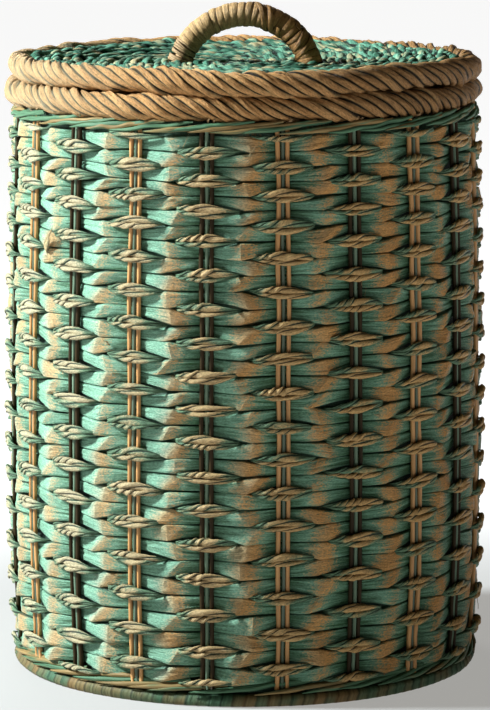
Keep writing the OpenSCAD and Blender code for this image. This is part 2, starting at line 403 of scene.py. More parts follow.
# Cross rods: four rods each way over the base and four each way under the lid keep them flat.
# They are peeled cane, left pale, and so are the hoops inside the rim and under the lid.
cane = Finish("peeled_cane")
cane_fibre = cane.grain(cane.position(), 240, 4, 0.6)
cane_mark = cane.grain(cane.position(), 30, 2)
cane_colour = cane.blend(cane_mark, (0.30, 0.165, 0.065), (0.60, 0.38, 0.19))
cane_colour = cane.shade(cane_colour, 0.6 + 0.6 * cane_fibre)
cane_paint = cane.finish(cane_colour, 0.5, cane_fibre, 0.0003)
for node in (
    "base_cross_lower",
    "base_cross_upper",
    "rim_hoop",
    "lid_hoop",
    "lid_cross_upper",
    "lid_cross_lower",
    "handle_cane",
    "handle_peg_left",
    "handle_peg_right",
):
    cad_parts[node].data.materials.clear()
    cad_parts[node].data.materials.append(cane_paint)

# Foot hoop: a stout hoop wrapped edge to edge in flat leaf, which the basket stands on.
# Each turn of leaf laps the last, so the hoop's outline steps a little at every turn.
hoop_r, hoop_low, hoop_high = cut_size("foot_hoop")
hoop_in = base_r + 0.6
wraps = 128
wrap_steps = 5
hoop_rng = np.random.default_rng(23)
hoop_count = wraps * wrap_steps
hoop_angle = np.linspace(0, 2 * math.pi, hoop_count, endpoint=False)
wrap_number = np.arange(hoop_count) // wrap_steps
wrap_place = (np.arange(hoop_count) % wrap_steps) / wrap_steps
wrap_width = hoop_rng.uniform(-0.5, 0.5, wraps)[wrap_number]
wrap_lift = 0.7 * (1 - wrap_place) + 0.35 * wrap_width
outline = [
    (0.02, 0.0), (0.0, 0.35), (0.03, 0.8), (0.12, 1.0), (0.40, 1.0), (0.70, 1.0),
    (0.88, 0.90), (0.98, 0.66), (1.0, 0.40), (0.94, 0.12), (0.80, 0.0), (0.40, 0.0),
]
hoop_rings = np.zeros((hoop_count, len(outline), 3))
hoop_width = hoop_r - hoop_in
for k, (outward, upward) in enumerate(outline):
    slant = 0.012 * (upward - 0.5) * outward
    out = hoop_in + outward * hoop_width + (wrap_lift - 0.5) * (1 if outward > 0.5 else 0.3)
    out = out + 0.6 * wander(hoop_rng, hoop_count, 9) * (outward > 0.5)
    rise = hoop_low + upward * (hoop_high - hoop_low) - (0.25 * (1 - wrap_lift) if upward > 0.5 else 0)
    hoop_rings[:, k] = about(hoop_angle + slant, out, np.maximum(rise, hoop_low))
hoop_lay = grid(
    np.linspace(0, 2 * math.pi * hoop_r, hoop_count + 1)[:, None],
    np.linspace(0, 30, len(outline) + 1)[None, :],
)
hoop_tone = hoop_rng.uniform(0, 1, wraps)[wrap_number][:, None]
hoop_seam = (wrap_place < 0.1)[:, None]
foot_wrap = skin("foot_wrap", hoop_rings, lay=hoop_lay, tone=hoop_tone, seam=hoop_seam)
wrapped = Finish("wrapped_leaf")
wrapped_fibre = wrapped.grain(wrapped.along(520, 40), 1, 3, 0.65)
wrapped_patch = wrapped.grain(wrapped.along(30, 40), 1, 2)
wrapped_green = wrapped.step(wrapped_patch + 0.35 * wrapped.value("tone"), 0.40, 0.95)
wrapped_colour = wrapped.blend(wrapped_green, (0.24, 0.15, 0.06), (0.07, 0.15, 0.085))
wrapped_colour = wrapped.shade(wrapped_colour, 0.25 + 1.2 * wrapped_fibre - 0.5 * wrapped.value("seam"))
wrapped_paint = wrapped.finish(wrapped_colour, 0.6, wrapped_fibre, 0.0008)
dress(foot_wrap, "basket", wrapped_paint, ["foot_hoop"])

# Stakes: groups of three rods stand side by side round the wall, from its foot to its rim.
# Pale groups and dark groups take turns, and the middle rod of each is green.
wall_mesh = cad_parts["wall_weave"].data
wall_points = np.array([v.co for v in wall_mesh.vertices]) * 1000
wall_radius = np.hypot(wall_points[:, 0], wall_points[:, 1])
wall_heights = np.unique(np.round(wall_points[:, 2], 2))
wall_outer = np.array([wall_radius[abs(wall_points[:, 2] - h) < 0.02].max() for h in wall_heights])
wall_outer = np.maximum(wall_outer, np.maximum(np.roll(wall_outer, 1), np.roll(wall_outer, -1)))


def wall_face(height):
    """Radius of the weave's plain outer face at a height."""
    return np.interp(height, wall_heights, wall_outer)


STAKES = 20
STAKE_TURN = 2 * math.pi / STAKES
FIRST_STAKE = math.radians(9)
ROD_D = 3.7
ROD_PITCH = 4.0
ROD_STEPS = 60
wall_low, wall_high = cut_size("wall_weave")[1:]
# Each kind of group has two tones of cane, two tones of its green middle rod, and a shine.
rod_looks = {
    "rod_pale": (
        (0.70, 0.38, 0.138), (0.36, 0.16, 0.048), (0.045, 0.075, 0.045), (0.14, 0.19, 0.13), 0.4,
    ),
    "rod_dark": (
        (0.055, 0.032, 0.010), (0.010, 0.007, 0.003), (0.085, 0.135, 0.085), (0.20, 0.29, 0.20), 0.12,
    ),
}
rod_paints = {}
for kind, (pale, dark, green_dark, green_pale, rod_shine) in rod_looks.items():
    rod = Finish(kind + "_cane")
    rod_fibre = rod.grain(rod.along(30, 900), 1, 3, 0.6)
    rod_patch = rod.grain(rod.along(14, 100), 1, 2)
    rod_colour = rod.blend(rod_patch, pale, dark)
    rod_green = rod.blend(rod_patch, green_dark, green_pale)
    rod_colour = rod.blend(rod.value("middle"), rod_colour, rod_green)
    rod_colour = rod.shade(rod_colour, 0.35 + 1.25 * rod_fibre)
    rod_paints[kind] = rod.finish(rod_colour, 0.5, rod_fibre, 0.0003, rod_shine)

rod_rng = np.random.default_rng(37)
for number in range(STAKES):
    stake_angle = FIRST_STAKE + STAKE_TURN * number
    rods = []
    heights = np.linspace(wall_low + 3.5, wall_high - 0.3, ROD_STEPS)
    for place in (-1, 0, 1):
        middle = place == 0
        thick = ROD_D * rod_rng.uniform(0.93, 1.07) * (0.86 if middle else 1.0)
        drift = 0.45 * wander(rod_rng, ROD_STEPS, 5, closed=False) + place * ROD_PITCH
        out = wall_face(heights) + 0.35 + thick / 2
        out = out + 0.25 * wander(rod_rng, ROD_STEPS, 5, closed=False) + (0.1 if middle else 0.0)
        turn = np.linspace(0, 2 * math.pi, 8, endpoint=False)[None, :]
        swell = thick / 2 * (1 + 0.03 * wander(rod_rng, ROD_STEPS, 9, closed=False))[:, None]
        angle = stake_angle + (drift[:, None] + swell * np.sin(turn)) / out[:, None]
        rings = about(angle, out[:, None] + swell * np.cos(turn), heights[:, None])
        lay = grid(
            np.append(heights, heights[-1])[:, None] + 500 * place + 37 * number,
            np.linspace(0, math.pi * thick, 9)[None, :],
        )
        rods.append(skin(f"rod_{number}_{place}", rings, run_closed=False, lay=lay, middle=middle))
    group = join(f"rods_{number + 1:02d}", rods)
    kind = "rod_dark" if number % 2 else "rod_pale"
    # Numbers start just right of the front and go on round to the right, as the plain solids' do.
    dress(group, "basket", rod_paints[kind], [f"stake_{number + 1:02d}"])

# Foot border: rods of rolled green leaf, each rising to the right and tucked under the next.
# Their tapered tips show just above the foot hoop, about two to each space between stakes.
border = Finish("rolled_leaf")
border_fibre = border.grain(border.along(24, 620), 1, 3, 0.65)
border_patch = border.grain(border.along(26, 70), 1, 2)
border_colour = border.blend(border_patch, (0.030, 0.085, 0.038), (0.15, 0.30, 0.175))
border_bare = border.step(border_patch + 0.6 * border.value("tone"), 0.80, 1.02)
border_colour = border.blend(0.75 * border_bare, border_colour, (0.36, 0.20, 0.07))
border_colour = border.shade(border_colour, 2.0 * border_fibre - 0.15)
border_paint = border.finish(border_colour, 0.5, border_fibre, 0.0007)


def rolled_border(name, count, reach, thick, low, climb, front, back, rng):
    """Rods that start low and in front and end high and behind the ones that follow."""
    rods = []
    steps = 30
    way = np.linspace(0, 1, steps)
    for number in range(count):
        start = 2 * math.pi * (number + rng.uniform(-0.3, 0.3)) / count
        length = reach * rng.uniform(0.85, 1.15)
        rise = low + rng.uniform(-0.7, 0.7) + climb * way**1.1
        rise = rise + 0.5 * wander(rng, steps, 3, closed=False)
        size = thick / 2 * rng.uniform(0.84, 1.12) * np.minimum(1, 0.16 + 3.4 * way) ** 0.8
        size = size * (1 + 0.06 * wander(rng, steps, 6, closed=False))
        size = size * np.minimum(1, 0.45 + 3.0 * (1 - way))
        out = wall_face(rise) + front + (back - front) * np.minimum(1, 1.6 * way) ** 1.1
        turn = np.linspace(0, 2 * math.pi, 10, endpoint=False)[None, :]
        angle = (start + length * way)[:, None] + 0 * turn
        girth = size[:, None] * (1 + 0.07 * ripples(rng, 10, 1, 4).T)
        rings = about(angle, out[:, None] + girth * np.cos(turn), rise[:, None] + girth * np.sin(turn))
        lay = grid(
            np.linspace(0, length * 200, steps + 1)[:, None] + 150 * number,
            np.linspace(0, math.pi * thick, 11)[None, :],
        )
        tone = rng.uniform(0, 1)
        rods.append(skin(f"{name}_{number}", rings, run_closed=False, lay=lay, tone=tone))
    return join(name, rods)


foot_border_low, foot_border_high = cut_size("foot_border")[1:]
foot_border = rolled_border(
    "foot_border_rods", count=46, reach=math.radians(30), thick=4.3, low=foot_border_low + 1.6,
    climb=foot_border_high - foot_border_low + 3.0, front=7.4, back=1.2,
    rng=np.random.default_rng(41),
)
dress(foot_border, "basket", border_paint, ["foot_border"])

# Wall strips: broad flat leaf strips pass behind every stake and swell out between the stakes.
# Binding pairs push them up and down by turns, and each is folded to a crease near its middle.
level_low = 1000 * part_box("binding_row_01")[0].z
level_high = 1000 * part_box("binding_row_17")[1].z
STRIPS = 33
LEVEL_LIFT = 10.0
LIFT_FULL = 0.3
LIFT_EASES = 0.78
# Leaf round to the left of the front, towards the key lamp, is painted paler and lighter as painted light;
# leaf round to the right shows less tan and is painted darker as painted shade.
LIT_SIDE_TURN = math.radians(68)


def eased(share):
    """Goes from 0 to 1 with a soft start and a soft end."""
    share = min(1.0, max(0.0, share))
    return share * share * (3 - 2 * share)


def level_height(level):
    """Height of a level; the pairs stand a little closer together towards the rim."""
    share = level / STRIPS
    lift = eased(share / LIFT_FULL) * (1 - eased((share - LIFT_EASES) / (1 - LIFT_EASES)))
    return level_low + (level_high - level_low) * share + LEVEL_LIFT * lift


# Steps along a strip from one stake to the next, and how far a binding pair pushes it aside.
SAMPLES = 28
MIDDLE = 14
PUSH = 4.7
# Depth of a strip, a little different on odd and even levels so that their backs never coincide.
EVEN_DEPTH = 5.7
ODD_DEPTH = 6.3
# Sharpest turn that is shaded as smooth.
FOLD_TURN = math.radians(12)
strip_rng = np.random.default_rng(53)
across = np.array([0.0, 0.025, 0.07, 0.20, 0.40, 0.60, 0.80, 0.93, 0.975, 1.0])

leaf = Finish("strip_leaf")
leaf_fibre = leaf.grain(leaf.along(30, 620), 1, 5, 0.8)
leaf_streak = leaf.grain(leaf.along(30, 330), 1, 3, 0.65)
leaf_speck = leaf.grain(leaf.along(480, 820), 1, 2, 0.7)
leaf_patch = leaf.grain(leaf.along(24, 50), 1, 2)
leaf_wash = leaf.value("wash")
leaf_dye = leaf.value("dye")
leaf_bare = leaf.value("rise") + 0.80 * (leaf_streak - 0.5) + 0.35 * (leaf.value("tone") - 0.5)
leaf_bare = leaf_bare + 0.40 * (leaf_patch - 0.5) + 1.2 * (leaf_speck - 0.5)
# Less tan shows where the leaf is painted pale towards the lamp, and less tan shows towards the right.
leaf_bare = leaf.step(leaf_bare - 0.20 * leaf_wash + 0.30 * leaf_dye - 0.23, 0.50, 0.88)
# Painted highlight: the green is painted a lighter mint on raised parts and towards the lamp; it is also
# streaky.
leaf_mint = leaf.step(leaf_streak + 0.25 * leaf.value("rise") + 0.25 * leaf_wash, 0.38, 0.90)
leaf_green = leaf.blend(leaf_mint, (0.050, 0.132, 0.055), (0.22, 0.43, 0.30))
leaf_tan = leaf.blend(leaf_patch, (0.40, 0.165, 0.040), (0.72, 0.37, 0.11))
# Painted light: towards the lamp the tan is painted a pale grey-green.
leaf_tan = leaf.blend(0.92 * leaf_wash, leaf_tan, (0.31, 0.41, 0.30))
leaf_colour = leaf.blend(0.96 * leaf_bare, leaf_green, leaf_tan)
leaf_colour = leaf.shade(leaf_colour, leaf_fibre + 0.75 * leaf_streak + 2.0 * leaf_speck - 0.83)
# Painted shade: the leaf is darker towards the right, away from the lamp, and along the edges where the
# strips meet.
leaf_colour = leaf.shade(leaf_colour, (0.76 + 0.34 * leaf_dye) * (1.0 - 0.92 * leaf.value("edge")))
leaf_height = leaf_fibre + 0.6 * leaf_streak + 0.5 * leaf_speck
leaf_paint = leaf.finish(leaf_colour, 0.44, leaf_height, 0.0017)


def push_at(place, ridge, power):
    """How far a binding pair opens the strips, from 1 at its stake to 0 at the ridge.
    place runs from 0 at the stake on the left to 1 at the stake on the right."""
    from_left = np.clip(1 - (place / ridge) ** power, 0, 1)
    from_right = np.clip(1 - ((1 - place) / (1 - ridge)) ** power, 0, 1)
    return from_left, from_right


for strip in range(STRIPS):
    bottom_z, top_z = level_height(strip), level_height(strip + 1)
    width = top_z - bottom_z
    names = ("run", "low", "high", "swell", "lean", "tone", "fold", "dent", "wash", "dye")
    parts = {key: [] for key in names}
    for space in range(STAKES):
        # Space 0 runs from the stake at the front left to the stake at the front right.
        ridge_middle = 0.5 + strip_rng.uniform(-0.10, 0.10)
        slant = strip_rng.uniform(-0.10, 0.24)
        sharp = strip_rng.uniform(0.5, 1)
        bulge = strip_rng.uniform(4.6, 7.8)
        shift = strip_rng.uniform(-0.9, 0.9)
        tip = strip_rng.uniform(-1.4, 1.0)
        grow = strip_rng.uniform(-0.5, 1.2)
        power = strip_rng.uniform(1.25, 2.1)
        ridge = ridge_middle + slant * (across - 0.5)
        steps = np.arange(SAMPLES)
        place = np.stack([np.interp(steps, [0, MIDDLE, SAMPLES], [0, r, 1]) for r in ridge], axis=1)
        reach = np.where(place < ridge, place / ridge, (1 - place) / (1 - ridge))
        open_reach = np.clip((reach - 0.13) / 0.87, 0, 1)
        rounded = np.sin(open_reach * math.pi / 2) ** 1.15
        straight = open_reach * (1.2 - 0.2 * open_reach)
        hump = rounded * (1 - sharp) + straight * sharp
        # Odd levels carry pairs on the pale stakes and even levels on the dark stakes.
        dark_left = space % 2 == 0
        low_left, low_right = push_at(place, ridge[0], power)
        high_left, high_right = push_at(place, ridge[-1], power)
        low_is_dark = strip % 2 == 0
        low_push = low_left if dark_left == low_is_dark else low_right
        high_push = high_right if dark_left == low_is_dark else high_left
        crease_at = strip_rng.uniform(0.25, 0.75)
        crease = strip_rng.uniform(-0.4, 1.2) * np.exp(-(((across - crease_at) / 0.10) ** 2))
        parts["run"].append((space + place - 0.5) * STAKE_TURN)
        parts["low"].append(bottom_z + 0.2 + PUSH * low_push + hump * shift - 0.5 * grow * hump)
        parts["high"].append(top_z - 0.2 - PUSH * high_push + hump * shift + 0.5 * grow * hump)
        parts["swell"].append((bulge + 0.9 * grow) * hump)
        parts["lean"].append(tip * hump)
        parts["tone"].append(np.full(place.shape, strip_rng.uniform(0, 1)))
        parts["fold"].append(hump)
        # Towards the lamp even the raised parts are painted pale green as painted light, but not on the
        # shaded face behind a ridge.
        dyed = 0.5 + 0.5 * math.cos(space * STAKE_TURN + LIT_SIDE_TURN)
        shaded_face = np.clip(0.5 + 6 * (place - ridge), 0, 1)
        washed = np.minimum(1, 1.9 * dyed**3 * strip_rng.uniform(0.6, 1.1))
        parts["wash"].append(washed * (1 - (0.85 - 0.22 * dyed**6) * shaded_face))
        # Towards the right the strips show less tan and are painted darker, as painted shade.
        parts["dye"].append(np.full(place.shape, min(dyed, 0.7)))
        parts["dent"].append(crease[None, :] * np.clip(1.4 - 1.2 * hump, 0, 1))
    run, low, high, swell, lean, tone, fold, dent, wash, dye = (
        np.concatenate(parts[key]) for key in names
    )
    count = len(run)
    rise = low + (high - low) * across
    rounding = 2.5 * abs(2 * across - 1) ** 11
    wrinkle = 0.30 * ripples(strip_rng, count, len(across), 110) * (0.5 + 0.5 * fold)
    out = wall_face(rise) - 0.7 + swell - rounding + lean * (2 * across - 1) - dent + wrinkle
    depth = ODD_DEPTH if strip % 2 else EVEN_DEPTH
    back_run = run[:, [-1, 0]]
    # The first and last strips reach on to the foot hoop and up under the rim rope.
    back_top = wall_high + 1.4 if strip == STRIPS - 1 else top_z + 1.0
    back_bottom = wall_low if strip == 0 else bottom_z - 1.0
    back_rise = np.broadcast_to([back_top, back_bottom], back_run.shape)
    back_out = wall_face(back_rise) - depth + 0.45 * swell[:, [-1, 0]]
    rings = about(
        np.concatenate([run, back_run], axis=1),
        np.concatenate([out, back_out], axis=1),
        np.concatenate([rise, back_rise], axis=1),
    )
    reach_along = np.append(run[:, 4], run[0, 4] + 2 * math.pi) * 200 + 1400 * strip
    reach_across = np.concatenate([across, [1.25, 1.75, 2.0]]) * width
    lay = grid(reach_along[:, None], reach_across[None, :])
    rim = np.concatenate([abs(2 * across - 1) ** 24, [1, 1]])[None, :]
    fold, tone, wash, dye = (
        np.concatenate([x, x[:, [-1, 0]]], axis=1) for x in (fold, tone, wash, dye)
    )
    # Each strip carries its own numbers for three things: its painted paleness towards the lamp, its
    # painted shade towards the right, and the painted shade along its edges.
    piece = skin(
        f"wall_strip_{strip + 1:02d}",
        rings,
        lay=lay,
        rise=fold * (1 - 0.30 * rim),
        tone=tone,
        wash=wash,
        dye=dye,
        edge=rim * (1 - 0.25 * fold),
    )
    piece.select_set(True)
    bpy.context.view_layer.objects.active = piece
    bpy.ops.object.shade_smooth_by_angle(angle=FOLD_TURN)
    piece.select_set(False)
    dress(piece, "basket", leaf_paint, ["wall_weave"] if strip == 0 else [])

# Binding strands: two twisted leaf strands cross each stake on the outside, one over the other.
# Between the stakes of their own kind they dive through the wall and run on along its inside.
bind = Finish("twisted_leaf")
bind_fibre = bind.grain(bind.along(70, 560), 1, 4, 0.8)
bind_speck = bind.grain(bind.along(480, 820), 1, 2, 0.7)
bind_patch = bind.grain(bind.along(55, 60), 1, 2)
bind_bare = bind.value("rise") + 0.9 * (bind_patch - 0.5) + 0.6 * (bind.value("tone") - 0.5)
bind_bare = bind.step(bind_bare + 0.8 * (bind_speck - 0.5) - 0.5 * bind.value("groove"), 0.35, 0.85)
bind_green = bind.blend(bind_fibre, (0.030, 0.080, 0.045), (0.20, 0.32, 0.19))
bind_tan = bind.blend(bind_patch, (0.36, 0.185, 0.055), (0.66, 0.41, 0.165))
# Painted light: towards the lamp on the left the tan is painted a pale grey-green.
bind_tan = bind.blend(bind.value("wash"), bind_tan, (0.40, 0.42, 0.30))
bind_colour = bind.blend(0.92 * bind_bare, bind_green, bind_tan)
bind_colour = bind.shade(bind_colour, 1.7 * bind_fibre + 1.8 * bind_speck - 0.80)
# Painted shade: dark lines in the grooves between the plies.
bind_colour = bind.shade(bind_colour, 1.0 - 0.92 * bind.step(bind.value("groove"), 0.35, 0.95))
bind_paint = bind.finish(bind_colour, 0.45, bind_fibre - 0.6 * bind.value("groove"), 0.0012)

bind_rng = np.random.default_rng(71)
# Radius that runs along the strands are measured at, then the plies of a strand and its mesh lines.
BIND_R = 201.0
PLIES = 2
PER_PLY = 7
BIND_ROUND = PLIES * PER_PLY
# A strand lies in front within this far of its stake, and then dives from outside to inside.
FRONT_REACH = 30
DIVE_AT = 28.2
DIVE_WIDTH = 2.6
DIVE_DEPTH = 16.0
INSIDE = -9.4
from_stake = np.concatenate([np.linspace(-29, 29, 40), np.linspace(36, 91, 8)])
front = abs(from_stake) < FRONT_REACH
dive = INSIDE + DIVE_DEPTH / (1 + np.exp((abs(from_stake) - DIVE_AT) / DIVE_WIDTH))
around = (np.arange(BIND_ROUND) / BIND_ROUND * 2 * math.pi)[None, :]
lobe = (np.sin(math.pi * (np.arange(BIND_ROUND) % PER_PLY) / PER_PLY) ** 0.4)[None, :]
for level in range(STRIPS + 1):
    dark_level = level % 2 == 0
    level_z = level_height(level)
    strands = []
    jogs = bind_rng.uniform(-1.3, 1.3, STAKES // 2)
    tilts = bind_rng.uniform(-0.05, 0.04, STAKES // 2)
    for side in (1, -1):
        if (level == 0 and side < 0) or (level == STRIPS and side > 0):
            continue
        run, out, rise, size, rises, tones, rates, flats = [], [], [], [], [], [], [], []
        for number in range(STAKES // 2):
            stake_angle = FIRST_STAKE + STAKE_TURN * (2 * number + (-1 if dark_level else 0))
            long = bind_rng.uniform(0.88, 1.08)
            fat = bind_rng.uniform(0.95, 1.38) if side > 0 else bind_rng.uniform(0.78, 1.12)
            slip = bind_rng.uniform(-4, 4)
            lead = 2 * math.pi / bind_rng.uniform(22, 60)
            turning_at = bind_rng.uniform(-14, 6)
            taper = np.clip(abs(from_stake - 0.6 * slip * front) / (28.5 * long), 0, 1)
            body = 1 - taper**1.6
            skew = tilts[number] * from_stake + jogs[number] * body
            run.append(stake_angle + from_stake / BIND_R)
            out.append(dive + 0.5 * fat * front)
            centre = side * (0.5 + 2.2 * body * (0.55 + 0.45 * fat))
            rise.append(level_z + centre + np.where(front, skew, 0))
            size.append(np.where(front, 0.55 + 2.25 * fat * body, 1.9))
            rises.append(np.where(front, body, 0.2))
            tones.append(np.full(len(from_stake), bind_rng.uniform(0, 1)))
            rates.append(np.where(front, lead * np.where(from_stake < turning_at, 1.9, 0.55), 0.16))
            flats.append(np.full(len(from_stake), bind_rng.uniform(0.05, 0.32)))
        run, out, rise, size, rises, tones, rates, flats = (
            np.concatenate(x)[:, None] for x in (run, out, rise, size, rises, tones, rates, flats)
        )
        length = (run - run[0]) * BIND_R
        whole = 2 * math.pi * BIND_R
        steps = rates * np.diff(length, axis=0, append=[[whole]])
        total = steps.sum()
        closing = round(total / (2 * math.pi)) * 2 * math.pi - total
        twist = np.cumsum(steps, axis=0) - steps + closing * length / whole
        turned = around + twist
        girth = size * (1 - 0.26 * (1 - lobe)) * (1 + flats * np.cos(2 * around - 1.6))
        girth = girth + 0.16 * size / 2.5 * ripples(bind_rng, len(run), BIND_ROUND, 130)
        outs = wall_face(rise) + out + girth * np.cos(turned) * 0.80
        ups = rise + girth * np.sin(turned)
        rings = about(run, outs, ups)
        lay_run = np.append(length[:, 0], whole) + 1300 * level + 640 * side
        lay = grid(lay_run[:, None], np.linspace(0, 17, BIND_ROUND + 1)[None, :])
        # Painted light: strands towards the lamp on the left are painted paler.
        wash = 0.7 * (0.5 + 0.5 * np.cos(run + LIT_SIDE_TURN)) ** 4
        strands.append(
            skin(
                f"strand_{level}_{side}",
                rings,
                lay=lay,
                rise=rises,
                tone=tones,
                groove=1 - lobe,
                wash=wash,
            )
        )
    pair = join(f"binding_pair_{level + 1:02d}", strands)
    row = level // 2 + 1
    dress(pair, "basket", bind_paint, [f"binding_row_{row:02d}"] if dark_level else [])

# Rim border: the same rolled rods as at the foot, closing the wall under the rim rope.
# They are a little finer and shorter, and there are more of them.
rim_border_low, rim_border_high = cut_size("rim_border")[1:]
rim_border = rolled_border(
    "rim_border_rods", count=54, reach=math.radians(25), thick=4.0, low=rim_border_low + 0.6,
    climb=rim_border_high - rim_border_low + 1.5, front=7.2, back=3.0,
    rng=np.random.default_rng(83),
)
dress(rim_border, "basket", border_paint, ["rim_border"])

# Rim rope: a thick rope of natural leaf, laid round the mouth and tied down to the border.
# Each strand is a bundle of flat leaf, so its surface shows long fibres and small frayed edges.
rope = Finish("rope_leaf")
rope_fibre = rope.grain(rope.along(34, 520), 1, 5, 0.85)
rope_patch = rope.grain(rope.along(30, 80), 1, 3)
rope_speck = rope.grain(rope.along(420, 700), 1, 2, 0.7)
rope_colour = rope.blend(rope_patch, (0.30, 0.125, 0.034), (0.68, 0.39, 0.16))
# Dark green flecks, more of them in the grooves between the strands.
rope_green_flecks = rope.step(rope_speck + 0.5 * rope.value("groove"), 0.62, 0.86)
rope_colour = rope.blend(0.45 * rope_green_flecks, rope_colour, (0.10, 0.15, 0.085))
rope_colour = rope.shade(rope_colour, 1.9 * rope_fibre + 2.0 * rope_speck - 1.0)
# Painted shade: the grooves between the strands are painted nearly black.
rope_groove_shade = rope.step(rope.value("groove") + 1.1 * (rope_fibre - 0.5), 0.30, 0.82)
rope_colour = rope.shade(rope_colour, 1.0 - 0.97 * rope_groove_shade)
# The rope is painted paler and greyer on the left, towards the key lamp, as painted light, and painted
# darker on the right as painted shade.
rope_lit_pale = rope.step(rope.rightward(), -0.06, -0.20)
rope_colour = rope.blend(0.40 * rope_lit_pale, rope_colour, (0.36, 0.33, 0.22))
rope_side_shade = rope.step(rope.rightward(), -0.02, 0.17)
rope_colour = rope.shade(rope_colour, 1.30 - 0.56 * rope_side_shade)
rope_height = rope_fibre + 0.3 * rope_patch + 0.6 * rope_speck
rope_paint = rope.finish(rope_colour, 0.45, rope_height, 0.0024)
ROPE_SWELL = 1.02


def laid_rope(name, node, seed, sway):
    """A thick rope of seven strands in the place of a plain ring."""
    out, low, high = cut_size(node)
    thick = high - low
    return twisted_ring(
        name, out - thick / 2, (low + high) / 2, thick * ROPE_SWELL, strands=7, turns=14, step=2.5,
        per_strand=8, groove=0.21, rng=np.random.default_rng(seed), uneven=0.12, wrinkle=0.62,
        slack=0.34, sway=sway,
    )


rim_rope = laid_rope("rim_rope_lay", "rim_rope", seed=97, sway=-2.6)
dress(rim_rope, "basket", rope_paint, ["rim_rope"])

# Rope ties: thin cords hold the rim rope down to the border, two turns at each stake.
# Each turn comes up from behind and under the rope and ends low on its outer side.
cord = Finish("fine_cord_leaf")
cord_fibre = cord.grain(cord.along(400, 900), 1, 3)
cord_colour = cord.blend(cord_fibre, (0.22, 0.12, 0.05), (0.55, 0.38, 0.21))
cord_colour = cord.shade(cord_colour, 0.5 + 0.9 * cord_fibre)
# Painted shade: the edges and underside of the wound cord at the handle are painted darker where its turns
# lap.
cord_colour = cord.shade(cord_colour, 1.0 - 0.8 * cord.value("groove"))
cord_paint = cord.finish(cord_colour, 0.55, cord_fibre, 0.0004)
tie_rng = np.random.default_rng(101)
ties = []
rope_out, rope_low, rope_high = cut_size("rim_rope")
rope_thick = rope_high - rope_low
rope_r = rope_out - rope_thick / 2
rope_z = (rope_low + rope_high) / 2
hug = rope_thick / 2 * ROPE_SWELL + 0.3
girth = 0.8
ring = np.linspace(0, 2 * math.pi, 6, endpoint=False)[None, :]
slant = np.linspace(0, 0.02, 14)[:, None]
lay = grid(np.linspace(0, 20, 15)[:, None], np.linspace(0, 4.7, 7)[None, :])
for number in range(STAKES):
    for turn_number in range(2):
        tie_angle = FIRST_STAKE + STAKE_TURN * number + tie_rng.uniform(-0.02, 0.02)
        sweep = np.radians(np.linspace(-125, tie_rng.uniform(-60, -45), 14))[:, None]
        outs = rope_r + (hug + girth * np.cos(ring)) * np.cos(sweep)
        ups = rope_z + (hug + girth * np.cos(ring)) * np.sin(sweep)
        rings = about(tie_angle + slant + girth * np.sin(ring) / rope_r, outs, ups)
        ties.append(
            skin(f"tie_{number}_{turn_number}", rings, run_closed=False, lay=lay, groove=0.0)
        )
rope_ties = join("rope_ties", ties)
dress(rope_ties, "basket", cord_paint, ["rim_lashings"])

# Lid rope: the same rope round the lid's edge.
# It lies on the rim rope and makes the lid's rim.
lid_rope = laid_rope("lid_rope_lay", "lid_rope", seed=103, sway=1.2)
dress(lid_rope, "lid", rope_paint, ["lid_rope"])

# Lid panel: green leaf twined in rings inside the lid rope. Its outer rings climb onto the rope,
# so the panel is a very shallow dish.
panel_r, panel_low, panel_high = cut_size("lid_panel")
FLAT_R = 95
DISH_RISE = 6.0


def dish(out):
    """How far the panel has climbed at a distance from its middle."""
    return DISH_RISE * np.clip((out - FLAT_R) / (panel_r - FLAT_R), 0, 1.1) ** 1.4


lid_panel = twined_panel(
    "lid_weave", panel_r + 2, panel_low, panel_high + 1.0, pitch=8.4, step=2.6, per_strand=5,
    rng=np.random.default_rng(107), rise_at=dish,
)
dress(lid_panel, "lid", twine_paint, ["lid_panel"])

# Handle: a stiff cane arch closely wound with flat leaf, its ends through the lid.
# The leaf is one long ribbon whose turns lap each other. Short turns cross over it at the right
# foot, and fine cord binds the left foot.
cane_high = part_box("handle_cane")[1] * 1000
arch_r = cane_high.x - cane_high.y
arch_z = cane_high.z - cane_high.x
wrap_half = 1000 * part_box("handle_wrap")[1].y


def arch_point(sweep, out, side):
    """Points on the handle: sweep is the angle up from the right, out goes out from its middle line
    in the plane of the arch, and side goes across it."""
    return grid((arch_r + out) * np.cos(sweep), side, arch_z + (arch_r + out) * np.sin(sweep))


# Mesh rings in one turn of ribbon.
RIBBON_STEPS = 24


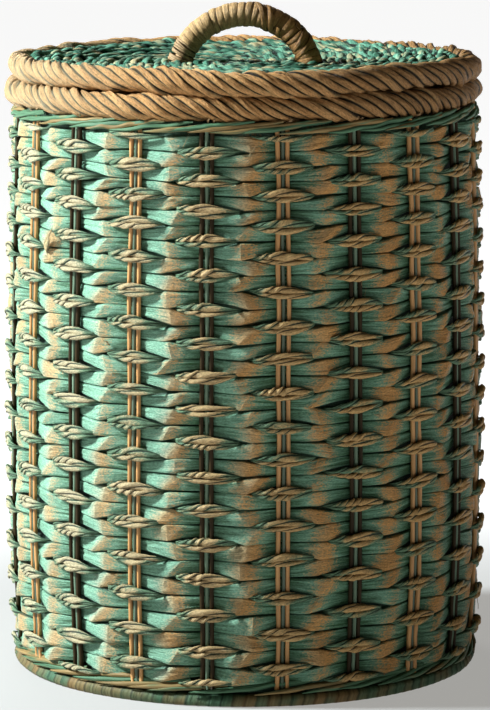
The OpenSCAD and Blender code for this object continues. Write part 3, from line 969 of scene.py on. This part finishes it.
def wound_ribbon(name, start, end, turns, girth, width, thick, rng, phase=0.0, uneven=0.4):
    """A flat ribbon wound round the handle between two angles."""
    count = int(turns * RIBBON_STEPS)
    way = np.linspace(0, 1, count)
    sweep = start + (end - start) * way
    winding = 2 * math.pi * turns * way + phase
    wide = width * (1 + 0.18 * wander(rng, count, max(2, int(1.5 * turns)), closed=False))[:, None]
    outline_run = np.array([-0.5, -0.38, -0.12, 0.12, 0.38, 0.5, 0.3, -0.3]) * wide
    outline_out = np.array([0.0, 0.75, 1.0, 0.85, 0.6, 0.0, -0.4, -0.4]) * thick
    bulge = girth + uneven * wander(rng, count, max(2, 2 * int(turns)), closed=False)[:, None]
    radius = bulge + outline_out[None, :] + 0.12 * outline_run
    out = radius * np.cos(winding[:, None])
    side = radius * np.sin(winding[:, None])
    drift = 0.5 * wander(rng, count, max(2, int(turns)), closed=False)[:, None]
    run = sweep[:, None] + (outline_run + drift) / arch_r
    rings = arch_point(run, out, side)
    lay = grid(
        np.linspace(0, turns * 2 * math.pi * girth, count + 1)[:, None],
        np.linspace(0, 2 * width, 9)[None, :],
    )
    grooves = np.array([1.0, 0.45, 0.0, 0.0, 0.4, 1.0, 1.0, 1.0])[None, :]
    return skin(name, rings, run_closed=False, lay=lay, groove=grooves)


wound = Finish("wound_leaf")
wound_fibre = wound.grain(wound.along(30, 420), 1, 4, 0.8)
wound_patch = wound.grain(wound.along(25, 60), 1, 3)
wound_speck = wound.grain(wound.along(420, 700), 1, 2, 0.7)
wound_pale = wound.blend(wound_patch, (0.34, 0.19, 0.075), (0.64, 0.43, 0.21))
wound_brown = wound.blend(wound_patch, (0.20, 0.082, 0.022), (0.48, 0.245, 0.085))
# Painted shade: the right half of the handle, away from the key lamp, is painted a darker brown.
wound_right_shade = wound.step(wound.rightward(), -0.002, 0.022)
wound_colour = wound.blend(0.9 * wound_right_shade, wound_pale, wound_brown)
wound_colour = wound.shade(wound_colour, 1.6 * wound_fibre + 1.4 * wound_speck - 0.57)
# Painted shade: the edges and underside of each turn of ribbon are painted dark where the turns lap.
wound_colour = wound.shade(wound_colour, 1.0 - 0.94 * wound.step(wound.value("groove"), 0.30, 0.95))
wound_paint = wound.finish(wound_colour, 0.5, wound_fibre + 0.3 * wound_patch, 0.0016)

handle_rng = np.random.default_rng(109)
foot_sweep = math.asin((panel_high - 1 - arch_z) / arch_r)
left_foot = math.pi - foot_sweep
wind = wound_ribbon(
    "wind_main", left_foot - 0.26, foot_sweep + 0.02, turns=23, girth=wrap_half - 1.3, width=7.2,
    thick=1.5, rng=handle_rng,
)
crossed = [
    wound_ribbon(
        f"wind_cross_{k}", foot_sweep + 0.08 + 0.22 * k, foot_sweep + 0.50 + 0.24 * k, turns=1.1,
        girth=wrap_half - 0.1, width=5.6, thick=1.0, rng=handle_rng, phase=2.2 + 1.6 * k, uneven=0.2,
    )
    for k in range(4)
]
handle_wind = join("handle_wind", [wind] + crossed)
dress(handle_wind, "lid", wound_paint, ["handle_wrap", "handle_binding_right"])
fine = wound_ribbon(
    "handle_cord_left", left_foot + 0.02, left_foot - 0.30, turns=9, girth=wrap_half - 0.9, width=2.3,
    thick=1.3, rng=handle_rng, uneven=0.25,
)
dress(fine, "lid", cord_paint, ["handle_binding_left"])

# Loose ends: a few leaf tips and fine fibres have come out of the weave and stand off the wall.
# The largest tip stands up in a space between two stakes at the front left.
loose_rng = np.random.default_rng(113)
loose = []
FIBRES = 34
# Each tip has its turn from the front in degrees, height, width, length, lean and how far it stands off.
tips = [
    (-55, 366, 7.5, 27, 0.91, 11.5),
    (-33, 296, 1.8, 10, 2.4, 9.5),
    (33, 236, 2.0, 10, 2.6, 9.5),
]
for _ in range(FIBRES):
    turn, height = loose_rng.uniform(-180, 180), loose_rng.uniform(60, 460)
    length, lean = loose_rng.uniform(9, 17), loose_rng.uniform(0, 6.3)
    tips.append((turn, height, 0.45, length, lean, 9.8))
way = np.linspace(0, 1, 9)
for number, (turn, height, wide, length, lean, start) in enumerate(tips):
    width = wide * np.minimum(1, 1.25 * (1 - way) + 0.1) / 2
    bend = 0.7 * wander(loose_rng, 9, 2, closed=False)
    run = math.radians(turn) + (length * way * math.cos(lean) + bend) / BIND_R
    rise = height + length * way * math.sin(lean) + bend
    out = wall_face(rise) + start * (0.55 + 0.45 * way**0.6)
    offsets = np.array([-1.0, 0.0, 1.0, 0.0])[None, :] * width[:, None]
    lift = np.array([0.0, 0.25, 0.0, -0.25])[None, :]
    rings = about(
        run[:, None] - offsets * math.sin(lean) / BIND_R,
        out[:, None] + lift,
        rise[:, None] + offsets * math.cos(lean),
    )
    lay = grid(np.linspace(0, length, 10)[:, None], np.linspace(0, 2 * wide, 5)[None, :])
    # The loose ends are painted a little paler, as painted light.
    loose.append(
        skin(
            f"loose_{number}", rings, run_closed=False, lay=lay, rise=0.8, tone=0.5, groove=0.0, wash=0.3
        )
    )
dress(join("loose_ends", loose), "basket", bind_paint)
